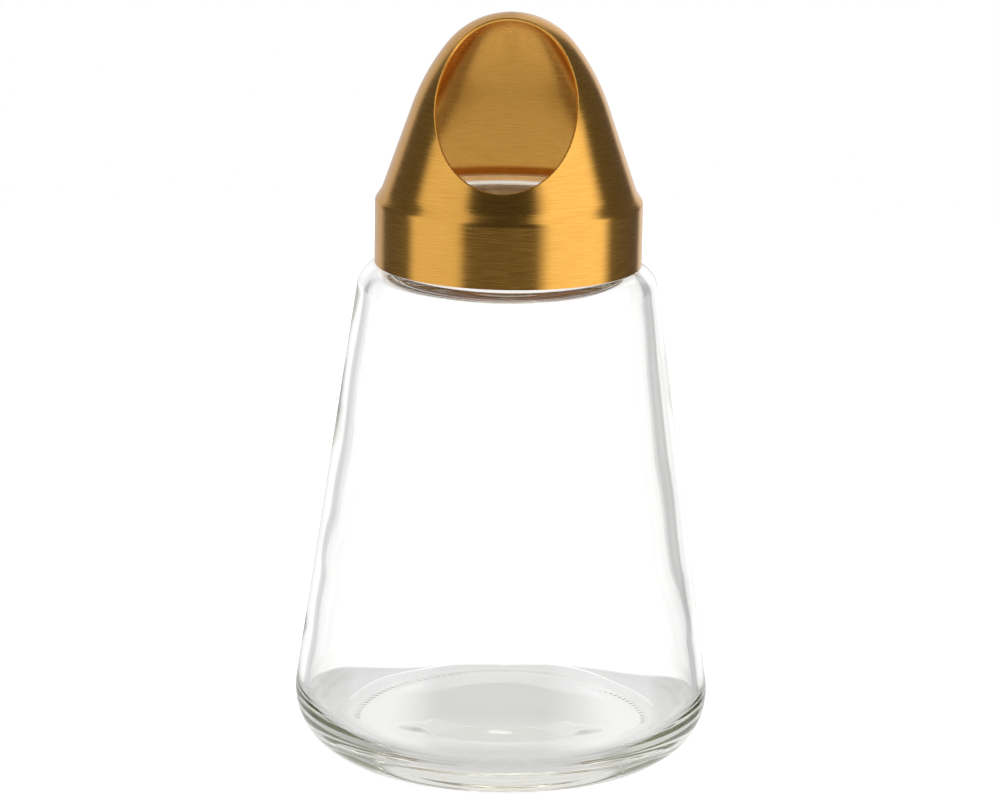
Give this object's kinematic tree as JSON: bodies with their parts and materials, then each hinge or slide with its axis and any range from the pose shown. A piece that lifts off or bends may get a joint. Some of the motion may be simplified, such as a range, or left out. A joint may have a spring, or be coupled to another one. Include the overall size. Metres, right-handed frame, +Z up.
{
  "type": "snack dispenser",
  "caption": "Cone-shaped glass jar with a screw-on gold-coloured metal dome lid that has a slanted oval pouring mouth.",
  "frame": {"origin": "centre of the jar's bearing ring, on the plane that the jar stands on", "axes": "+Z up along the jar's axis; the lid's pouring mouth faces -Y when the lid is screwed down; +X to the right as seen from the mouth's side"},
  "size_m": [0.0866, 0.0866, 0.155],
  "materials": {
    "clear_glass": "fire-polished clear soda-lime glass",
    "gold_coated_steel": "brushed round the axis, gold-coloured coating",
    "tan_polypropylene": "tan, moulded to go with the lid",
    "translucent_silicone": "milky"
  },
  "bodies": {
    "jar": {"glass_jar": "clear_glass"},
    "seal": {"seal_ring": "translucent_silicone"},
    "lid": {"lid_shell": "gold_coated_steel", "thread_insert": "tan_polypropylene"}
  },
  "joints": [
    {"name": "lid_lift", "type": "slide", "parent": "jar", "child": "seal", "axis": [0, 0, 1], "range_m": [0, 0.0138]},
    {"name": "lid_turn", "type": "hinge", "parent": "seal", "child": "lid", "pos_m": [0, 0, 0.1153], "axis": [0, 0, 1], "range_deg": [0, 1170]}
  ],
  "couplings": [
    {"joint": "lid_lift", "follows": "lid_turn", "m_per_rad": 0.00067376}
  ]
}
